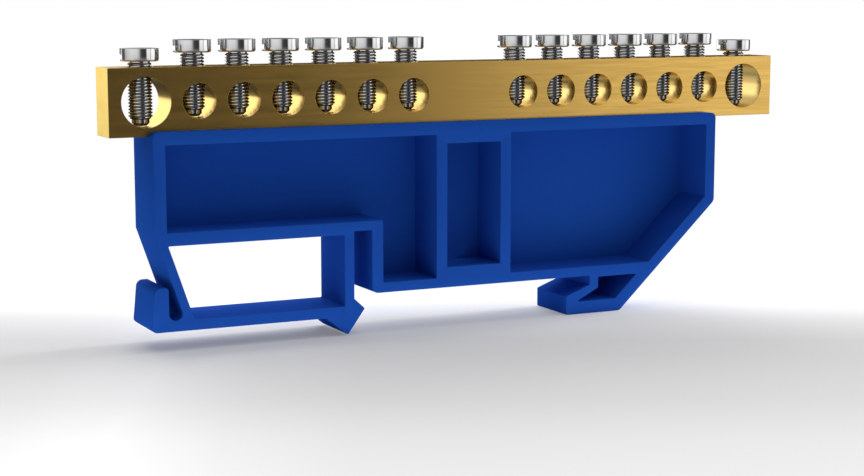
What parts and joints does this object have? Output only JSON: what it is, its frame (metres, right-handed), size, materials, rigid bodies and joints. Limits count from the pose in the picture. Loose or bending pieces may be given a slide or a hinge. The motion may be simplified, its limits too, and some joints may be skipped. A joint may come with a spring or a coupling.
{
  "type": "neutral terminal bar",
  "caption": "Drilled brass terminal bar with slotted clamp screws over its wire bores, on a blue moulded holder that clips onto a top-hat rail with a hook and a sprung latch.",
  "frame": {"origin": "centre line of the rail, on the plane where the holder sits on it, at mid depth of the holder", "axes": "+X along the bar towards the hook end, +Y along the rail away from the open pockets, +Z away from the rail towards the clamp screws' heads"},
  "size_m": [0.0986, 0.0082, 0.0386],
  "materials": {
    "holder_plastic": "smooth moulded, low sheen",
    "bar_brass": "drawn, bare",
    "screw_steel": "bright zinc plated"
  },
  "bodies": {
    "base": {"din_holder": "holder_plastic", "terminal_bar": "bar_brass", "fixing_screw": "screw_steel"},
    "screw_01": {"clamp_screw_01": "screw_steel"},
    "screw_02": {"clamp_screw_02": "screw_steel"},
    "screw_03": {"clamp_screw_03": "screw_steel"},
    "screw_04": {"clamp_screw_04": "screw_steel"},
    "screw_05": {"clamp_screw_05": "screw_steel"},
    "screw_06": {"clamp_screw_06": "screw_steel"},
    "screw_07": {"clamp_screw_07": "screw_steel"},
    "screw_08": {"clamp_screw_08": "screw_steel"},
    "screw_09": {"clamp_screw_09": "screw_steel"},
    "screw_10": {"clamp_screw_10": "screw_steel"},
    "screw_11": {"clamp_screw_11": "screw_steel"},
    "screw_12": {"clamp_screw_12": "screw_steel"},
    "screw_13": {"clamp_screw_13": "screw_steel"},
    "screw_14": {"clamp_screw_14": "screw_steel"}
  },
  "joints": [
    {"name": "screw_01_travel", "type": "slide", "parent": "base", "child": "screw_01", "axis": [0, 0, 1], "range_m": [0, 0.0063]},
    {"name": "screw_02_travel", "type": "slide", "parent": "base", "child": "screw_02", "axis": [0, 0, 1], "range_m": [0, 0.0043]},
    {"name": "screw_03_travel", "type": "slide", "parent": "base", "child": "screw_03", "axis": [0, 0, 1], "range_m": [0, 0.0043]},
    {"name": "screw_04_travel", "type": "slide", "parent": "base", "child": "screw_04", "axis": [0, 0, 1], "range_m": [0, 0.0043]},
    {"name": "screw_05_travel", "type": "slide", "parent": "base", "child": "screw_05", "axis": [0, 0, 1], "range_m": [0, 0.0043]},
    {"name": "screw_06_travel", "type": "slide", "parent": "base", "child": "screw_06", "axis": [0, 0, 1], "range_m": [0, 0.0043]},
    {"name": "screw_07_travel", "type": "slide", "parent": "base", "child": "screw_07", "axis": [0, 0, 1], "range_m": [0, 0.0043]},
    {"name": "screw_08_travel", "type": "slide", "parent": "base", "child": "screw_08", "axis": [0, 0, 1], "range_m": [0, 0.0043]},
    {"name": "screw_09_travel", "type": "slide", "parent": "base", "child": "screw_09", "axis": [0, 0, 1], "range_m": [0, 0.0043]},
    {"name": "screw_10_travel", "type": "slide", "parent": "base", "child": "screw_10", "axis": [0, 0, 1], "range_m": [0, 0.0043]},
    {"name": "screw_11_travel", "type": "slide", "parent": "base", "child": "screw_11", "axis": [0, 0, 1], "range_m": [0, 0.0043]},
    {"name": "screw_12_travel", "type": "slide", "parent": "base", "child": "screw_12", "axis": [0, 0, 1], "range_m": [0, 0.0043]},
    {"name": "screw_13_travel", "type": "slide", "parent": "base", "child": "screw_13", "axis": [0, 0, 1], "range_m": [0, 0.0043]},
    {"name": "screw_14_travel", "type": "slide", "parent": "base", "child": "screw_14", "axis": [0, 0, 1], "range_m": [0, 0.0063]}
  ]
}
